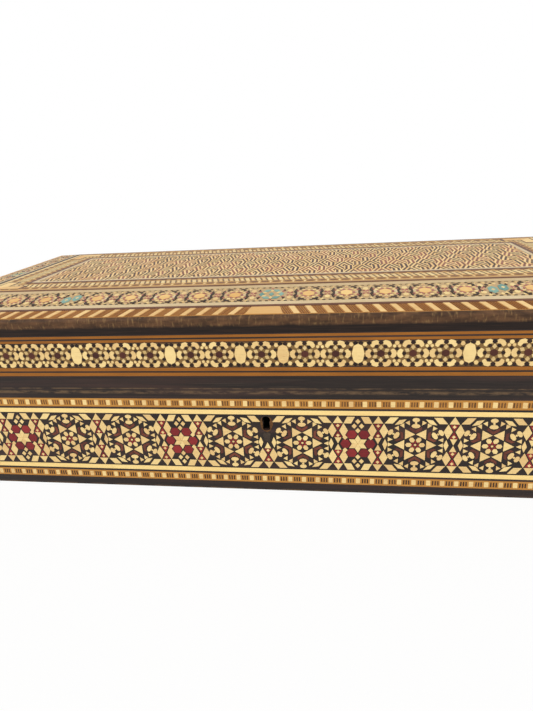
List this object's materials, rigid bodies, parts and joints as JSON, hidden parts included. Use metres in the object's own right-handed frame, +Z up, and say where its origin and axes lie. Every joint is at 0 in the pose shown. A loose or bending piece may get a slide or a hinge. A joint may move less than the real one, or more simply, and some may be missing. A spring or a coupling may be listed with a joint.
{
  "type": "inlaid wooden box",
  "caption": "Oblong wooden box veneered all over with geometric star marquetry, with a bevelled lid hinged at the back and a small key lock in the front.",
  "frame": {"origin": "middle of the underside", "axes": "+X along the length to the right, +Y from the front to the back, +Z up; the keyhole faces -Y"},
  "size_m": [0.418, 0.201, 0.101],
  "materials": {
    "carcass_wood": "plain planed walnut",
    "ebony": "dark stained, satin, worn",
    "cream_wood": "satin lacquer",
    "red_wood": "dyed, satin lacquer",
    "orange_wood": "satin lacquer",
    "marquetry": "fine inlay, satin lacquer",
    "velvet": "short pile velvet",
    "brass": "aged, satin",
    "steel": "dull"
  },
  "bodies": {
    "box": {"base_board": "carcass_wood", "front_wall": "carcass_wood", "right_wall": "carcass_wood", "back_wall": "carcass_wood", "left_wall": "carcass_wood", "foot_strips": "ebony", "lower_dashed_bandings": "orange_wood", "lower_cream_lines": "cream_wood", "front_star_ground": "ebony", "right_star_ground": "ebony", "back_star_ground": "ebony", "left_star_ground": "ebony", "front_star_tiles": "cream_wood", "right_star_tiles": "cream_wood", "back_star_tiles": "cream_wood", "left_star_tiles": "cream_wood", "red_star_tiles": "red_wood", "upper_cream_lines": "cream_wood", "upper_dashed_bandings": "orange_wood", "body_rim_strips": "ebony", "floor_lining": "velvet", "wall_linings": "velvet", "lock_plate": "brass", "lock_cap": "brass", "key_post": "steel", "lock_screws": "steel", "left_hinge_body_leaf": "brass", "right_hinge_body_leaf": "brass", "hinge_pins": "steel", "body_hinge_screws": "steel"},
    "lid": {"lid_front_wall": "carcass_wood", "lid_right_wall": "carcass_wood", "lid_back_wall": "carcass_wood", "lid_left_wall": "carcass_wood", "lid_top_board": "carcass_wood", "lid_rim_strips": "ebony", "lid_lower_stringing": "orange_wood", "lid_front_rosette_band": "marquetry", "lid_right_rosette_band": "marquetry", "lid_back_rosette_band": "marquetry", "lid_left_rosette_band": "marquetry", "lid_upper_stringing": "orange_wood", "lid_nosings": "ebony", "rope_bandings": "orange_wood", "front_bevel_panel": "marquetry", "right_bevel_panel": "marquetry", "back_bevel_panel": "marquetry", "left_bevel_panel": "marquetry", "top_border": "marquetry", "top_centre_panel": "marquetry", "lid_top_lining": "velvet", "lid_wall_linings": "velvet", "left_hinge_lid_leaf": "brass", "right_hinge_lid_leaf": "brass", "lid_hinge_screws": "steel", "strike_plate": "brass", "strike_screws": "steel"},
    "lock_bolt": {"lock_bolt": "steel"}
  },
  "joints": [
    {"name": "lid_hinge", "type": "hinge", "parent": "box", "child": "lid", "pos_m": [0, 0.0975, 0.0583], "axis": [-1, 0, 0], "range_deg": [0, 105]},
    {"name": "bolt_slide", "type": "slide", "parent": "box", "child": "lock_bolt", "axis": [1, 0, 0], "range_m": [0, 0.004]}
  ]
}
